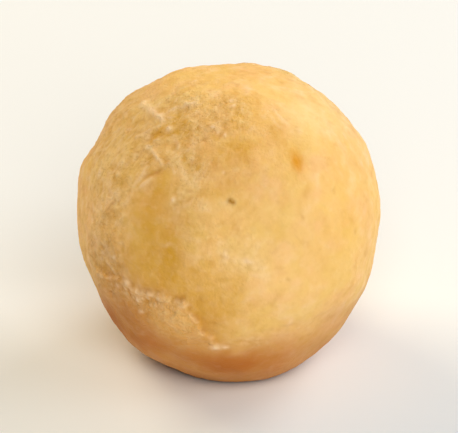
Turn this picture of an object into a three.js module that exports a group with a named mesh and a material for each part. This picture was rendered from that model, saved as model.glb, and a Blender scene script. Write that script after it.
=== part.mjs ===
// Pao de queijo: one ball of Brazilian cheese bread, resting on the flat spot that its baking
// tray gave it. Millimetres, +Z up. The origin is the middle of that flat spot, and the side
// with the long tear in its crust faces -Y.
//
// The ball is one solid: a sphere of even triangles whose every corner is pushed in or out by
// what baking did to the dough. It slumped towards the tray, swelled and sank in places, and
// its first skin tore open and curled up along the tears while new crust set below.
import * as THREE from "three";
import { mergeVertices } from "three/addons/utils/BufferGeometryUtils.js";

// ---- Driving dimensions ----

const crustRadius = 25; // middle of the ball to its crust, where nothing swells or sinks
const middleHeight = 24; // flat spot to the middle of the ball
const slumpMost = 2; // mm further out at the foot of the ball
const slumpStarts = 0.35; // share of the radius below the middle where the slump starts
const slumpFull = 0.95; // and where it is full
const edgeRounding = 1; // half the height of the rounded edge round the flat spot
const lookDown = 30; // degrees: the tilt of the maps on which the marks below are placed
const tearBlur = 0.8; // mm over which the step of a tear rises: about half a triangle
const ridgeWidth = 0.9; // mm from the crest of a ridge to its foot
const endFade = 0.14; // share of a tear or ridge over which each of its ends dies away
const longerEach = 0.07; // share by which each wave of the lumps is longer than the one before
const cutsPerEdge = 20; // of the icosahedron that gives the even triangles
const crustColour = 0xecbd74;

// Marks are placed on maps of the ball. An eye at a bearing (0 looks at the front, 90 at the
// right side, 180 at the back), which looks down by lookDown degrees, sees a mark x mm to the
// right of the ball's middle and y mm above it.

// Swells and hollows: half their width and height on the map, turned by so many degrees, and
// how far they stand out (or in, where negative).
const swells = [
  { bearing: 0, x: -18.1, y: 16.9, wide: 4, tall: 4, turn: 0, out: 0.35 }, // upper left shoulder
  { bearing: 0, x: -23.5, y: 8.2, wide: 7, tall: 3.8, turn: 0, out: 1.1 }, // left shoulder
  { bearing: 0, x: -21.3, y: 13.2, wide: 2.6, tall: 2.6, turn: 0, out: -0.4 }, // nick between them
  { bearing: 0, x: -24.2, y: -5.5, wide: 6, tall: 6, turn: 0, out: -0.7 }, // flat over the tear's start
  { bearing: 0, x: -20.2, y: -14.2, wide: 7, tall: 6, turn: 0, out: -0.5 }, // flat under it
  { bearing: 0, x: -7.4, y: 23.6, wide: 3.2, tall: 5, turn: 0, out: 0.75 }, // crown, to the left
  { bearing: 0, x: -12, y: 21.8, wide: 3, tall: 4, turn: 0, out: -0.25 }, // dip beside it
  { bearing: 0, x: 16.7, y: 18.2, wide: 7, tall: 7, turn: -40, out: -0.8 }, // flatter upper right
  { bearing: 0, x: 21.6, y: -12.4, wide: 3, tall: 3, turn: 0, out: 0.3 }, // corner low on the right
  { bearing: 0, x: 24.2, y: -7, wide: 5, tall: 4.2, turn: 0, out: -0.95 }, // flat above that corner
  { bearing: 0, x: 16.6, y: -18.6, wide: 4, tall: 4, turn: 0, out: 0.35 }, // bulge below it
  { bearing: 0, x: -11.5, y: -3.5, wide: 5.2, tall: 8.5, turn: -14, out: -0.5 }, // hollow over the tear
  { bearing: 0, x: -7, y: 1, wide: 3.2, tall: 7, turn: -20, out: 0.05 }, // its soft right bank
  { bearing: 0, x: -13.5, y: -17, wide: 6, tall: 4.5, turn: 35, out: 0.4 }, // lifted skin under the tear
  { bearing: 90, x: 4, y: 8, wide: 9, tall: 7, turn: 20, out: 0.6 }, // right side
  { bearing: 90, x: 9, y: -9, wide: 6, tall: 4, turn: -20, out: -0.6 },
  { bearing: 180, x: -6, y: 2, wide: 9, tall: 8, turn: 15, out: 0.9 }, // back
  { bearing: 180, x: 9, y: -5, wide: 6, tall: 7, turn: -30, out: -0.7 },
  { bearing: 180, x: 3, y: 16, wide: 7, tall: 4, turn: 10, out: -0.4 },
  { bearing: 270, x: 2, y: -3, wide: 7, tall: 5, turn: 25, out: -0.5 }, // left side
  { bearing: 270, x: -10, y: 3, wide: 6, tall: 8, turn: 0, out: 0.5 },
];

// Tears: the skin on the right hand of someone who walks along the path is lifted, and the
// crust on the left hand has sunk. Both fade out over so many millimetres.
const tears = [
  {
    bearing: 0, // the long one, from the left edge down to the foot of the ball
    path: [
      [-22.6, -7],
      [-20.4, -9.2],
      [-17.6, -10],
      [-15.2, -11.6],
      [-12.6, -12.3],
      [-10.2, -13.1],
      [-9.4, -13.8],
      [-6.6, -13.7],
      [-6.7, -15.1],
      [-5, -17.2],
      [-4.2, -18.8],
      [-2.8, -19.8],
      [-2.2, -20.8],
      [-0.4, -21.4],
    ],
    lift: 0.4,
    sink: 0.34,
    fade: 4.5,
  },
  {
    bearing: 120, // down the right side
    path: [
      [2, 4],
      [1, 0],
      [4.5, -3],
      [9, -3.5],
      [11.5, -7.5],
      [11, -13],
    ],
    lift: 0.3,
    sink: 0.3,
    fade: 4,
  },
  {
    bearing: 180, // a wide arch on the back
    path: [
      [-15, -3],
      [-12.5, 3],
      [-7.5, 6.5],
      [-2, 6],
      [2, 8.5],
      [6.5, 6.5],
      [9.5, 2],
      [14, 0],
    ],
    lift: 0.35,
    sink: 0.35,
    fade: 4.5,
  },
  {
    bearing: 240, // down the left side
    path: [
      [-3, 3],
      [-5, -1.5],
      [-2, -5],
      [-4, -9.5],
      [0, -13],
      [3, -16],
    ],
    lift: 0.3,
    sink: 0.3,
    fade: 3.5,
  },
];

// Ridges: seams where stretched skin was pushed up.
const ridges = [
  { bearing: 0, path: [[-14.2, 18.7], [-13, 17.4], [-11.6, 16.3], [-10.3, 14.8]], rise: 0.3 },
  { bearing: 0, path: [[-11, 16.2], [-10, 17.2], [-8.8, 17.7], [-7, 18], [-4.6, 18.2]], rise: 0.2 },
  { bearing: 0, path: [[-12.6, 11], [-11.9, 10], [-11.1, 8.9], [-10.4, 8]], rise: 0.3 },
  { bearing: 0, path: [[-15.4, 12.4], [-13.6, 13.3], [-12, 14.2], [-10.6, 14.9]], rise: 0.2 },
  { bearing: 0, path: [[-14.3, 6.4], [-13.8, 7.7], [-13, 9]], rise: 0.2 },
  { bearing: 0, path: [[-9.4, 1.2], [-7.6, 1.5], [-6.4, 2], [-5.3, 3.1]], rise: 0.2 },
  { bearing: 120, path: [[4.5, -3], [0, -7], [-4, -8]], rise: 0.25 },
  { bearing: 120, path: [[9, -3.5], [12, 2], [16, 4], [18, 9]], rise: 0.3 },
  { bearing: 180, path: [[-2, 6], [-4, 1], [-2, -4], [-5, -9]], rise: 0.3 },
  { bearing: 180, path: [[9.5, 2], [7, -3], [9.5, -8], [8, -13]], rise: 0.3 },
  { bearing: 240, path: [[-2, -5], [3, -7], [6, -11]], rise: 0.25 },
  { bearing: 240, path: [[-5, -1.5], [-10, 0], [-13, 5], [-12, 9]], rise: 0.25 },
];

// Lumps all over: sums of waves that run in evenly spread directions.
const lumps = [
  { waves: 7, length: 19, height: 0.1 },
  { waves: 11, length: 8.5, height: 0.05 },
];

// ---- Places on the ball ----

const radians = THREE.MathUtils.degToRad;

/** The eye at a bearing: unit vectors to its right, up its view, and from the ball to it. */
function eyeAt(bearing) {
  const right = new THREE.Vector3(Math.cos(radians(bearing)), Math.sin(radians(bearing)), 0);
  const level = new THREE.Vector3(Math.sin(radians(bearing)), -Math.cos(radians(bearing)), 0);
  const towards = level.multiplyScalar(Math.cos(radians(lookDown)));
  towards.z = Math.sin(radians(lookDown));
  return { right, up: towards.clone().cross(right), towards };
}

/** The point of the plain sphere, about its own middle, that the eye sees at (x, y). */
function onSphere({ right, up, towards }, x, y) {
  const depth = Math.sqrt(Math.max(0, crustRadius ** 2 - x ** 2 - y ** 2));
  return new THREE.Vector3()
    .addScaledVector(right, x)
    .addScaledVector(up, y)
    .addScaledVector(towards, depth)
    .setLength(crustRadius);
}

/** The straight pieces between a map path's points, each with its share of the way there. */
function alongPath(bearing, path) {
  const eye = eyeAt(bearing);
  const points = path.map(([x, y]) => onSphere(eye, x, y));
  const pieces = points.slice(1).map((end, i) => new THREE.Line3(points[i], end));
  const whole = pieces.reduce((sum, piece) => sum + piece.distance(), 0);
  let before = 0;
  return pieces.map((piece) => {
    const from = before / whole;
    before += piece.distance();
    return { piece, from, to: before / whole };
  });
}

// ---- What each mark does to the crust ----

const bell = (u, v) => Math.exp(-(u ** 2) - v ** 2);

/** Makes a function of a point that gives the height of one swell there. */
function swelling({ bearing, x, y, wide, tall, turn, out }) {
  const eye = eyeAt(bearing);
  const peak = onSphere(eye, x, y).normalize();
  const across = eye.up.clone().cross(peak).normalize().applyAxisAngle(peak, radians(turn));
  const along = peak.clone().cross(across);
  return (point) => {
    const nearSide = point.dot(peak) > 0;
    return nearSide ? out * bell(point.dot(across) / wide, point.dot(along) / tall) : 0;
  };
}

/**
 * How far a point is from a path, the same with a minus sign where it is on the left hand, and
 * at which share of the path's length.
 */
function besidePath(pieces, point) {
  const found = { distance: Infinity, side: 0, share: 0 };
  const nearest = new THREE.Vector3();
  const forward = new THREE.Vector3();
  for (const { piece, from, to } of pieces) {
    const along = piece.closestPointToPointParameter(point, true);
    piece.at(along, nearest);
    const distance = nearest.distanceTo(point);
    if (distance >= found.distance) continue;
    const rightHand = piece.delta(forward).cross(point);
    found.distance = distance;
    found.side = Math.sign(rightHand.dot(point) - rightHand.dot(nearest)) * distance;
    found.share = THREE.MathUtils.lerp(from, to, along);
  }
  return found;
}

/** 0 at both ends of a path and 1 along its middle. */
function fadeAtEnds(share) {
  return THREE.MathUtils.smoothstep(Math.min(share, 1 - share), 0, endFade);
}

/** Makes a function of a point that gives the step which one tear leaves there. */
function tearing({ bearing, path, lift, sink, fade }) {
  const pieces = alongPath(bearing, path);
  return (point) => {
    const { distance, side, share } = besidePath(pieces, point);
    const lifted = (1 + Math.tanh(side / tearBlur)) / 2;
    return (lift * lifted - sink * (1 - lifted)) * Math.exp(-distance / fade) * fadeAtEnds(share);
  };
}

/** Makes a function of a point that gives the height of one ridge there. */
function ridging({ bearing, path, rise }) {
  const pieces = alongPath(bearing, path);
  return (point) => {
    const { distance, share } = besidePath(pieces, point);
    return rise * bell(distance / ridgeWidth, 0) * fadeAtEnds(share);
  };
}

/** Makes a function of a point that sums waves in directions spread evenly over a sphere. */
function lumping({ waves, length, height }) {
  const goldenTurn = Math.PI * (3 - Math.sqrt(5));
  const directions = Array.from({ length: waves }, (_, i) => {
    const rise = 1 - (2 * i + 1) / waves;
    const reach = Math.sqrt(1 - rise ** 2);
    return new THREE.Vector3(reach * Math.cos(i * goldenTurn), reach * Math.sin(i * goldenTurn), rise);
  });
  return (point) => {
    let sum = 0;
    directions.forEach((direction, i) => {
      const turns = direction.dot(point) / (length * (1 + longerEach * i));
      sum += Math.sin(2 * Math.PI * turns + goldenTurn * i * i);
    });
    return height * sum;
  };
}

const marks = [
  ...swells.map(swelling),
  ...tears.map(tearing),
  ...ridges.map(ridging),
  ...lumps.map(lumping),
];

// ---- The crust ----

/** How much further out the slumped dough is, by how far down its direction points. */
function slumpAt(down) {
  return slumpMost * THREE.MathUtils.smoothstep(down, slumpStarts, slumpFull);
}

/** Lets nothing below the tray: flat under it, and rounded where the crust curves up from it. */
function restOnTray(z) {
  if (z <= -edgeRounding) return 0;
  if (z >= edgeRounding) return z;
  return (z + edgeRounding) ** 2 / (4 * edgeRounding);
}

/** The point of the finished crust in a unit direction from the middle of the ball. */
function crustPoint(direction) {
  const point = direction.clone().multiplyScalar(crustRadius);
  let radius = crustRadius + slumpAt(-direction.z);
  for (const mark of marks) radius += mark(point);
  const crust = direction.clone().multiplyScalar(radius);
  crust.z = restOnTray(crust.z + middleHeight);
  return crust;
}

/** A sphere of even triangles, each corner moved to the crust. */
function ballGeometry() {
  const sphere = new THREE.IcosahedronGeometry(1, cutsPerEdge);
  sphere.deleteAttribute("normal");
  sphere.deleteAttribute("uv");
  const geometry = mergeVertices(sphere);
  const corners = geometry.getAttribute("position");
  const direction = new THREE.Vector3();
  for (let i = 0; i < corners.count; i++) {
    direction.fromBufferAttribute(corners, i).normalize();
    corners.setXYZ(i, ...crustPoint(direction));
  }
  geometry.computeVertexNormals();
  return geometry;
}

const bakedCrust = new THREE.MeshStandardMaterial({ color: crustColour, roughness: 0.62, metalness: 0 });
const ball = new THREE.Mesh(ballGeometry(), bakedCrust);
ball.name = "cheese_ball";

const part = new THREE.Group();
part.add(ball);
export default part;
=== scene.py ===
# %% [markdown]
# # A ball of cheese bread (pao de queijo)
#
# Pao de queijo is baked from sour tapioca starch, egg, oil and cheese. The starch sets into a thin,
# matte, pale gold skin while the inside still swells, so the skin wrinkles in some places, tears in
# others, and lets melted cheese through in small orange spots. This lesson builds one ball: its
# shape, the relief of its skin, its colours and its light. The first cell loads the ball's plain
# solid, which gives the size that the finished ball must keep.

from itertools import product

import bpy
import numpy as np
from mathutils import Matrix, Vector


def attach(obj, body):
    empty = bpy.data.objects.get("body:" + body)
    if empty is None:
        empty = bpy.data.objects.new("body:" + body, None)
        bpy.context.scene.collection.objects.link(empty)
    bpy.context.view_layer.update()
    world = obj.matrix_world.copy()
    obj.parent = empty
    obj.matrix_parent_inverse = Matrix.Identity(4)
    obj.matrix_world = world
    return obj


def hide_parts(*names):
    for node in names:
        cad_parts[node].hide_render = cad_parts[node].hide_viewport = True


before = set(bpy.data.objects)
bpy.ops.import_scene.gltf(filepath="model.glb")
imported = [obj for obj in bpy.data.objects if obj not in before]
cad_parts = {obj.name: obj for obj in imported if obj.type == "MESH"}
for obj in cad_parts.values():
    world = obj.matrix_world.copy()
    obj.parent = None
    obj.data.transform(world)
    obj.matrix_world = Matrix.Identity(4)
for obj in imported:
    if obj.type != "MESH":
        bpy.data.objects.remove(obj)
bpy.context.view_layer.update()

# %% [markdown]
# ## Sizes
#
# A dough ball of about 30 g bakes to a ball 50 mm wide. All lengths are millimetres up to the place
# where the mesh is made.

# %% Driving dimensions
MM = 0.001
CRUST_RADIUS = 25  # middle of the ball to its crust, where nothing swells or sinks
MIDDLE_HEIGHT = 24  # flat spot to the middle of the ball
SLUMP_MOST = 2  # mm further out at the foot of the ball
SLUMP_STARTS = 0.35  # share of the radius below the middle where the slump starts
SLUMP_FULL = 0.95  # and where it is full
EDGE_ROUNDING = 1  # half the height of the rounded edge round the flat spot
LOOK_DOWN = 30  # degrees: the tilt of the maps on which the marks are placed
END_FADE = 0.14  # share of a path over which each of its ends dies away
LONGER_EACH = 0.07  # share by which each wave of the lumps is longer than the one before

# %% [markdown]
# ## A grid that covers a ball evenly
#
# A sphere made of rings and segments crowds its faces at the poles, and fine relief would show it.
# A cube blown up to a sphere has no poles: each of its six sides is a square grid of two
# parameters, u and v. Equal steps of angle along both keep the squares almost equal, and where two
# sides meet their points are joined.

# %% Directions of a blown-up cube
CELLS_PER_SIDE = 128


def cube_directions(cells):
    """Unit directions and faces of a sphere in six square grids.

    On a side, u and v run from -45 to 45 degrees, and the point is (tan u, tan v, 1) divided by
    its length. The six sides are that side turned round.
    """
    angle = np.linspace(-np.pi / 4, np.pi / 4, cells + 1)
    u, v = np.meshgrid(np.tan(angle), np.tan(angle), indexing="ij")
    corner = np.arange((cells + 1) ** 2).reshape(cells + 1, cells + 1)
    quads = np.stack([corner[:-1, :-1], corner[1:, :-1], corner[1:, 1:], corner[:-1, 1:]], -1)
    points, faces = [], []
    for axis, sign in product(range(3), (1, -1)):
        side = np.stack([sign * u, v, np.full_like(u, sign)], -1).reshape(-1, 3)
        faces.append(quads.reshape(-1, 4) + len(points) * len(side))
        points.append(np.roll(side, axis, axis=1))
    points = np.concatenate(points)
    points /= np.linalg.norm(points, axis=1, keepdims=True)
    _, first, same = np.unique(np.round(points, 6), axis=0, return_index=True, return_inverse=True)
    return points[first], same.reshape(-1)[np.concatenate(faces)]


directions, faces = cube_directions(CELLS_PER_SIDE)
sphere = directions * CRUST_RADIUS
print(len(directions), "points and", 2 * len(faces), "triangles, about",
      round(CRUST_RADIUS * np.pi / 2 / CELLS_PER_SIDE, 2), "mm apart")

# %% [markdown]
# ## Places on the ball
#
# A mark on the crust is easiest to place on a map: an eye at a bearing (0 looks at the front, 90 at
# the right side, 180 at the back) looks down by 30 degrees and sees the mark x mm to the right of
# the ball's middle and y mm above it. A row in a table of such marks is (bearing, x, y, half width,
# half height, turn, weight), where the turn is in degrees, unless the table says otherwise.

# %% Maps of the ball


def eye_at(bearing, look_down=LOOK_DOWN):
    """Unit vectors to the right of an eye, up its view, and from the ball to it."""
    turn, down = np.radians(bearing), np.radians(look_down)
    right = np.array([np.cos(turn), np.sin(turn), 0])
    towards = np.array([np.sin(turn) * np.cos(down), -np.cos(turn) * np.cos(down), np.sin(down)])
    return right, np.cross(towards, right), towards


def on_sphere(bearing, x, y):
    """The point of the plain sphere that the eye at a bearing sees at (x, y)."""
    right, up, towards = eye_at(bearing)
    depth = np.sqrt(max(0, CRUST_RADIUS**2 - x**2 - y**2))
    point = x * right + y * up + depth * towards
    return CRUST_RADIUS * point / np.linalg.norm(point)


def smoothstep(value, low=0, high=1):
    """0 below low, 1 above high, and 3t^2 - 2t^3 between them."""
    t = np.clip((value - low) / (high - low), 0, 1)
    return t * t * (3 - 2 * t)


def bell(offset, width):
    """1 at the offset 0 and exp(-(offset / width)^2) beside it."""
    return np.exp(-((offset / width) ** 2))


def blob(points, bearing, x, y, wide, tall, turn=0):
    """A bell of height 1 over a place on a map: exp(-(a/wide)^2 - (b/tall)^2), where a and b run
    across and along the crust, turned by so many degrees."""
    up = eye_at(bearing)[1]
    peak = on_sphere(bearing, x, y) / CRUST_RADIUS
    level = np.cross(up, peak)
    level /= np.linalg.norm(level)
    angle = np.radians(turn)
    across = np.cos(angle) * level + np.sin(angle) * np.cross(peak, level)
    along = np.cross(peak, across)
    high = np.exp(-((points @ across / wide) ** 2) - (points @ along / tall) ** 2)
    return np.where(points @ peak > 0, high, 0)


def blobs(points, table):
    """The sum of a table's bells, each times its weight."""
    return sum(weight * blob(points, *place) for *place, weight in table)


def beside_path(points, bearing, path):
    """How far each point is from a path, the same with a minus sign on the path's left hand, and
    at which share of the path's length. The path is straight from each of its points to the next."""
    ends = np.array([on_sphere(bearing, x, y) for x, y in path])
    lengths = np.linalg.norm(np.diff(ends, axis=0), axis=1)
    before = np.concatenate([[0], np.cumsum(lengths)])
    distance, side, share = np.full(len(points), np.inf), np.zeros(len(points)), np.zeros(len(points))
    for start, end, length, walked in zip(ends, ends[1:], lengths, before):
        forward = end - start
        along = np.clip((points - start) @ forward / length**2, 0, 1)
        offset = points - start - along[:, None] * forward
        away = np.linalg.norm(offset, axis=1)
        right_hand = np.sign((np.cross(forward, points) * offset).sum(1))
        nearer = away < distance
        distance = np.where(nearer, away, distance)
        side = np.where(nearer, right_hand * away, side)
        share = np.where(nearer, (walked + along * length) / before[-1], share)
    return distance, side, share


def fade_at_ends(share, reach=END_FADE):
    """0 at both ends of a path and 1 along its middle."""
    return smoothstep(np.minimum(share, 1 - share), 0, reach)


# %% [markdown]
# ## What baking did to the whole ball
#
# The ball slumped towards the tray, so it is wider low down and flat underneath. It also swelled
# here and sank there by up to a millimetre. These swells are few, wide and listed one by one,
# because even noise looks like noise and not like dough.

# %% Swells and hollows
# the weight is how far out, in mm
SWELLS = [
    (0, -18.1, 16.9, 4, 4, 0, 0.35),  # upper left shoulder
    (0, -23.5, 8.2, 7, 3.8, 0, 1.1),  # left shoulder
    (0, -21.3, 13.2, 2.6, 2.6, 0, -0.4),  # nick between them
    (0, -24.2, -5.5, 6, 6, 0, -0.7),  # flat over the tear's start
    (0, -20.2, -14.2, 7, 6, 0, -0.5),  # flat under it
    (0, -7.4, 23.6, 3.2, 5, 0, 0.75),  # crown, to the left
    (0, -12, 21.8, 3, 4, 0, -0.25),  # dip beside it
    (0, 16.7, 18.2, 7, 7, -40, -0.8),  # flatter upper right
    (0, 21.6, -12.4, 3, 3, 0, 0.3),  # corner low on the right
    (0, 24.2, -7, 5, 4.2, 0, -0.95),  # flat above that corner
    (0, 16.6, -18.6, 4, 4, 0, 0.35),  # bulge below it
    (0, -11.5, -3.5, 5.2, 8.5, -14, -0.5),  # hollow over the tear
    (0, -7, 1, 3.2, 7, -20, 0.05),  # its soft right bank
    (0, -13.5, -17, 6, 4.5, 35, 0.4),  # lifted skin under the tear
    (90, 4, 8, 9, 7, 20, 0.6),  # right side
    (90, 9, -9, 6, 4, -20, -0.6),
    (180, -6, 2, 9, 8, 15, 0.9),  # back
    (180, 9, -5, 6, 7, -30, -0.7),
    (180, 3, 16, 7, 4, 10, -0.4),
    (270, 2, -3, 7, 5, 25, -0.5),  # left side
    (270, -10, 3, 6, 8, 0, 0.5),
]


def lumps(points, waves, length, height):
    """A sum of sines of so many lengths, which run in directions spread evenly over a sphere."""
    golden_turn = np.pi * (3 - np.sqrt(5))
    total = 0
    for i in range(waves):
        rise = 1 - (2 * i + 1) / waves
        reach = np.sqrt(1 - rise**2)
        direction = np.array([reach * np.cos(i * golden_turn), reach * np.sin(i * golden_turn), rise])
        turns = points @ direction / (length * (1 + LONGER_EACH * i))
        total = total + np.sin(2 * np.pi * turns + golden_turn * i * i)
    return height * total


def slump(down):
    """How much further out the dough is, by how far down its direction points."""
    return SLUMP_MOST * smoothstep(down, SLUMP_STARTS, SLUMP_FULL)


def rest_on_tray(height):
    """Flat under the tray, untouched well above it, and a parabola between, so that they meet
    without a corner."""
    rounded = (height + EDGE_ROUNDING) ** 2 / (4 * EDGE_ROUNDING)
    return np.where(height <= -EDGE_ROUNDING, 0, np.where(height >= EDGE_ROUNDING, height, rounded))


body_radius = CRUST_RADIUS + slump(-directions[:, 2]) + blobs(sphere, SWELLS)
body_radius += lumps(sphere, waves=7, length=19, height=0.1)
body_radius += lumps(sphere, waves=11, length=8.5, height=0.05)
print("crust from", round(body_radius.min(), 1), "to", round(body_radius.max(), 1), "mm from the middle")

# %% [markdown]
# ## Noise for what is small and irregular
#
# Wrinkles, grain and mottling are too many to place by hand. Two kinds of noise draw them. Gradient
# noise gives soft hills of one size. Cell noise scatters points and measures how far each place is
# from the nearest two: where both are equally near runs a net of lines, like a net of cracks.

# %% Gradient noise and cell noise
NOISE_TABLE = 512
HILL_GAIN = 1.6  # brings the blended slopes to about -1 to 1


def shuffled(shuffle, cubes):
    """A random number for each cube of a lattice: its coordinates, looked up one after the other."""
    x, y, z = (cubes % NOISE_TABLE).T
    return shuffle[(shuffle[(shuffle[x] + y) % NOISE_TABLE] + z) % NOISE_TABLE]


def gradient_noise(points, size, seed):
    """Soft hills and hollows about -1 to 1 high and one size (mm) wide. Each corner of a cubic
    lattice has a random slope, and 6t^5 - 15t^4 + 10t^3 blends the slopes of the eight nearest."""
    random = np.random.default_rng(seed)
    slopes = random.normal(size=(NOISE_TABLE, 3))
    slopes /= np.linalg.norm(slopes, axis=1, keepdims=True)
    shuffle = random.permutation(NOISE_TABLE)
    base = np.floor(points / size)
    t = points / size - base
    base = base.astype(int)
    blend = t**3 * (t * (6 * t - 15) + 10)
    total = 0
    for corner in product((0, 1), repeat=3):
        slope = slopes[shuffled(shuffle, base + corner)]
        share = np.where(corner, blend, 1 - blend).prod(1)
        total = total + share * ((t - corner) * slope).sum(1)
    return HILL_GAIN * total


def rough_noise(points, size, seed, layers=3, gain=0.5):
    """Gradient noise with finer and lower gradient noise on it, each layer half as wide."""
    return sum(gain**i * gradient_noise(points, size / 2**i, seed + i) for i in range(layers))


def creases(points, size, seed, layers=2):
    """Sharp-topped folds: 1 - |noise|, squared, about 0 to 1, where folds cross at every angle."""
    return sum(0.5**i * (1 - np.abs(gradient_noise(points, size / 2**i, seed + i))) ** 2
               for i in range(layers)) / sum(0.5**i for i in range(layers))


def warped(points, size, reach, seed):
    """The points, each moved by up to about reach (mm), so that what is drawn there wanders."""
    return points + reach * np.stack([gradient_noise(points, size, seed + i) for i in range(3)], 1)


def cell_noise(points, size, seed):
    """Distances, in sizes, to the nearest and second nearest of points scattered one to a cube."""
    random = np.random.default_rng(seed)
    shuffle = random.permutation(NOISE_TABLE)
    scatter = random.random((NOISE_TABLE, 3))
    base = np.floor(points / size).astype(int)
    nearest, second = np.full(len(points), np.inf), np.full(len(points), np.inf)
    for step in product((-1, 0, 1), repeat=3):
        cube = base + step
        away = np.linalg.norm(points / size - cube - scatter[shuffled(shuffle, cube)], axis=1)
        second = np.minimum(second, np.maximum(nearest, away))
        nearest = np.minimum(nearest, away)
    return nearest, second


# %% [markdown]
# ## Where the skin is dry and wrinkled
#
# The skin that dried first stopped stretching: it is paler, a little raised, and full of fine folds
# that run the way it was pulled. Around it the crust stayed soft for longer and set smooth. How dry
# each point is, from 0 to 1, is a sum of wide bells with a ragged rim from wandering points.

# %% Dry skin
DRY_SKIN = [
    (0, -13, 14, 8, 7, 20, 1),  # upper left
    (0, -20, 14, 8, 7, 0, 0.8),
    (0, -20, 3, 5, 10, 0, 1),  # left
    (0, -21, -8, 5, 6, 0, 1),  # down to the tear
    (0, -3, 17, 9, 6, 0, 0.75),  # top
    (0, -6, 6, 3.5, 7, -12, 0.6),  # tongue beside the hollow
    (0, -10, -17, 7, 4, 20, 0.45),  # the lifted skin
    (0, 3, -7, 4, 4, 0, 0.35),  # a patch under the middle
    (120, 4, 10, 9, 6, 30, 0.8),  # behind the right side
    (120, 9, -6, 6, 6, 0, 0.9),
    (180, -7, 5, 9, 6, -20, 0.9),  # back
    (180, 5, -8, 9, 7, 10, 0.9),
    (240, -8, 6, 8, 9, 25, 0.9),  # behind the left side
    (240, -2, -10, 7, 5, -15, 0.8),
]
SMOOTH_SKIN = [
    (0, -11.8, 0.5, 3.6, 6, -14, 1),  # hollow over the tear
    (0, 14, 0, 9, 20, 0, 1),  # right half of the front
]

wandering = warped(sphere, 4, 1.4, seed=11)
dry = blobs(wandering, DRY_SKIN)
dry *= 1 - 0.85 * np.clip(blobs(wandering, SMOOTH_SKIN), 0, 1)
dry = smoothstep(dry + 0.25 * rough_noise(sphere, 2.5, seed=17), 0, 1)
print("dry skin covers", round(100 * (dry > 0.5).mean()), "% of the crust")

# %% Folds of the dry skin
FOLD_SIZE = 2.6  # mm from one fold to the next
FOLD_HEIGHT = 0.32
PULL = np.array([0.57, 0.41, 0.71])  # the way the skin was pulled: from low left to high right
PULL /= np.linalg.norm(PULL)


def stretched(points, way, share):
    """The points, squeezed along one way, so that noise read there comes out stretched that way."""
    return points - (1 - share) * (points @ way)[:, None] * way


pulled = stretched(warped(sphere, 3, 1.2, seed=23), PULL, 0.6)
folds = creases(pulled, FOLD_SIZE, seed=29) - 0.5
fine_folds = creases(warped(sphere, 1.5, 0.4, seed=31), 0.9, seed=37, layers=1) - 0.5
folded = np.clip(0.7 + 0.9 * gradient_noise(sphere, 5, seed=157), 0.2, 1.3)
fold_relief = FOLD_HEIGHT * dry * folded * (folds + 0.35 * fine_folds)

# %% [markdown]
# ## Openings in the dry skin
#
# Where the dry skin couldn't follow the swelling ball it opened in small ragged slots that show the
# darker crust below. A slot is where a noise is above a limit: the limit says how much of the skin
# is open, and a narrow step there gives the slot a clear rim.

# %% Openings in the dry skin
OPENING_SIZE = 1.5  # mm from one opening to the next
OPENING_DEPTH = 0.08

front = smoothstep(directions @ eye_at(0)[2], -0.15, 0.2)  # where the marks are listed one by one
torn_place = stretched(warped(sphere, 1.8, 0.8, seed=163), PULL, 0.55)
opened = smoothstep(gradient_noise(torn_place, OPENING_SIZE, seed=167), 0.24, 0.42)
opened *= smoothstep(dry * folded, 0.3, 0.7) * (1 - 0.7 * front)
opening_relief = -OPENING_DEPTH * opened
print("openings cover", round(100 * (opened > 0.5).mean(), 1), "% of the crust")

# %% [markdown]
# ## Threads and dashes
#
# The starch dries in fibres as well: short pale threads lie on the folds, most of them along the
# way the skin was pulled. Noise draws lines that are all alike, so these are laid one by one, each
# with its own length, width and turn. Short and wide ones make flakes and sunken dashes.

# %% Threads, flakes and dashes
THREADS = 1400
THREAD_RISE = 0.08
SCATTERED_DASHES = 700
DASH_DEPTH = 0.1
SCATTERED_FLAKES = 700
FLAKE_RISE = 0.14


def scattered(count, seed):
    """Random places on the crust, spread as evenly as a random draw is."""
    places = np.random.default_rng(seed).normal(size=(count, 3))
    return CRUST_RADIUS * places / np.linalg.norm(places, axis=1, keepdims=True)


def near_place(points, centre, reach):
    """Numbers of the points that lie within so many mm of a place on the crust."""
    return np.flatnonzero(points @ centre > CRUST_RADIUS**2 - reach**2 / 2)


def laid_lines(points, count, length_range, width_range, crossing, seed):
    """The highest of many short lines at each point: a bell across each line, less towards both its
    ends. Crossing is the share of lines that don't follow the pull."""
    random = np.random.default_rng(seed)
    lengths = random.uniform(*length_range, count)
    widths = random.uniform(*width_range, count)
    heights = random.uniform(0.3, 1, count)
    turns = np.where(random.random(count) < crossing, random.uniform(-np.pi, np.pi, count),
                     random.normal(0, 0.4, count))
    high = np.zeros(len(points))
    places = scattered(count, seed + 1)
    for centre, length, width, height, turn in zip(places, lengths, widths, heights, turns):
        normal = centre / CRUST_RADIUS
        along = np.cross(np.cross(normal, PULL), normal)
        along /= np.linalg.norm(along)
        along = np.cos(turn) * along + np.sin(turn) * np.cross(normal, along)
        near_by = near_place(points, centre, length / 2 + 2 * width)
        offset = points[near_by] - centre
        walked = np.clip(offset @ along, -length / 2, length / 2)
        away = np.linalg.norm(offset - walked[:, None] * along, axis=1)
        line = height * bell(away, width) * (1 - (1.8 * walked / length) ** 2)
        high[near_by] = np.maximum(high[near_by], line)
    return high


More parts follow.
